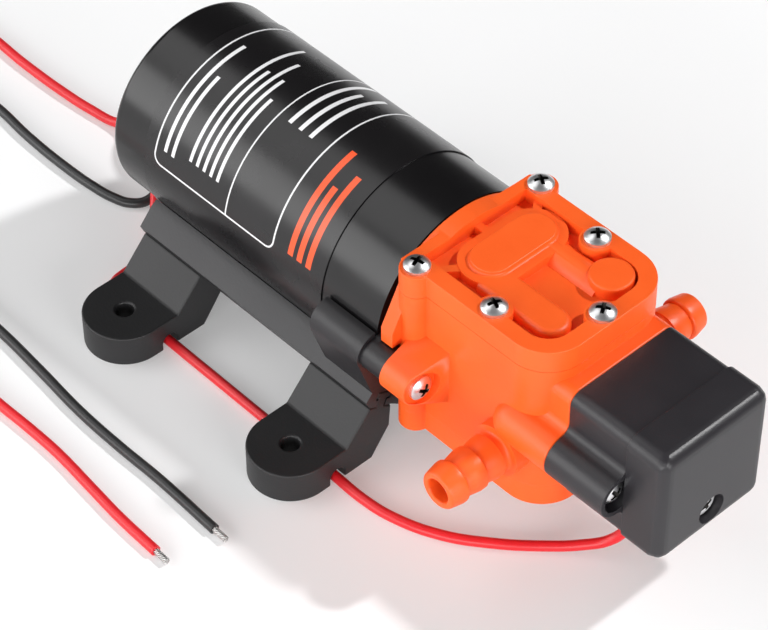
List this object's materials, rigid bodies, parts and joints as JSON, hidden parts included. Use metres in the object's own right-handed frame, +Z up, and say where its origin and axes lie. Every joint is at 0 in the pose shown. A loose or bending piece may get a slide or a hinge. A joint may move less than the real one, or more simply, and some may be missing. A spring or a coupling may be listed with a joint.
{
  "type": "diaphragm water pump",
  "caption": "Small electric diaphragm pump for a caravan: black motor on a rubber-footed bracket, orange pump head with hose barbs, black pressure switch and loose red and black leads.",
  "frame": {"origin": "on the floor, in the middle of the four foot holes", "axes": "+X along the motor shaft towards the pressure switch, +Y to the far side of the picture, +Z up"},
  "size_m": [0.294, 0.1329, 0.0611],
  "materials": {
    "motor_paint": "satin",
    "black_plastic": "matte",
    "label_film": "satin",
    "rubber": "matte",
    "ferrite": "matte",
    "copper": "satin",
    "orange_plastic": "satin",
    "white_plastic": "satin",
    "steel": "satin",
    "red_insulation": "satin",
    "black_insulation": "satin"
  },
  "bodies": {
    "frame": {"motor_can": "motor_paint", "rear_cap": "black_plastic", "motor_label": "label_film", "wire_grommet": "rubber", "magnets": "ferrite", "brushes": "ferrite", "motor_bushes": "copper", "motor_flange": "black_plastic", "base_bracket": "black_plastic", "pump_body": "orange_plastic", "top_cover": "orange_plastic", "bottom_cover": "orange_plastic", "top_cover_screws": "steel", "bottom_cover_screws": "steel", "ear_screws": "steel", "top_valve_plate": "white_plastic", "bottom_valve_plate": "white_plastic", "top_valves": "rubber", "bottom_valves": "rubber", "top_diaphragm": "rubber", "bottom_diaphragm": "rubber", "switch_membrane": "rubber", "switch_housing": "black_plastic", "switch_cap": "black_plastic", "switch_screws": "steel", "pressure_spring": "steel", "microswitch": "black_plastic", "switch_terminals": "copper", "switch_gland": "rubber", "red_lead": "red_insulation", "red_lead_end": "steel", "black_lead": "black_insulation", "black_lead_end": "steel", "switch_lead": "red_insulation"},
    "rotor": {"rotor_shaft": "steel", "armature_core": "steel", "armature_windings": "copper", "commutator": "copper", "eccentric": "steel"},
    "yoke": {"yoke": "white_plastic", "yoke_bearing": "steel", "top_clamp_disc": "white_plastic", "bottom_clamp_disc": "white_plastic", "clamp_screws": "steel"},
    "foot_front_left": {"foot_front_left": "rubber"},
    "foot_front_right": {"foot_front_right": "rubber"},
    "foot_rear_left": {"foot_rear_left": "rubber"},
    "foot_rear_right": {"foot_rear_right": "rubber"},
    "plunger": {"switch_plunger": "white_plastic"},
    "button": {"microswitch_button": "red_insulation"},
    "adjuster": {"pressure_adjuster": "steel"}
  },
  "joints": [
    {"name": "rotor_spin", "type": "hinge", "parent": "frame", "child": "rotor", "pos_m": [0, 0, 0.0356], "axis": [1, 0, 0], "continuous": true, "deforming": ["top_diaphragm", "bottom_diaphragm"]},
    {"name": "yoke_orbit", "type": "hinge", "parent": "rotor", "child": "yoke", "pos_m": [0.0634, 0, 0.0368], "axis": [1, 0, 0], "continuous": true},
    {"name": "front_left_foot_slide", "type": "slide", "parent": "frame", "child": "foot_front_left", "axis": [-1, 0, 0], "range_m": [0, 0.012]},
    {"name": "front_right_foot_slide", "type": "slide", "parent": "frame", "child": "foot_front_right", "axis": [-1, 0, 0], "range_m": [0, 0.012]},
    {"name": "rear_left_foot_slide", "type": "slide", "parent": "frame", "child": "foot_rear_left", "axis": [1, 0, 0], "range_m": [0, 0.012]},
    {"name": "rear_right_foot_slide", "type": "slide", "parent": "frame", "child": "foot_rear_right", "axis": [1, 0, 0], "range_m": [0, 0.012]},
    {"name": "plunger_slide", "type": "slide", "parent": "frame", "child": "plunger", "axis": [1, 0, 0], "range_m": [0, 0.001], "stiffness_N_per_m": 1000, "springref_m": -0.001, "deforming": ["pressure_spring", "switch_membrane"]},
    {"name": "button_slide", "type": "slide", "parent": "frame", "child": "button", "axis": [1, 0, 0], "range_m": [0, 0.001]},
    {"name": "adjuster_turn", "type": "hinge", "parent": "frame", "child": "adjuster", "pos_m": [0.11, 0, 0.0259], "axis": [1, 0, 0], "range_deg": [-360, 360]}
  ],
  "couplings": [
    {"joint": "yoke_orbit", "follows": "rotor_spin", "ratio": -1},
    {"joint": "button_slide", "follows": "plunger_slide", "ratio": 1}
  ]
}
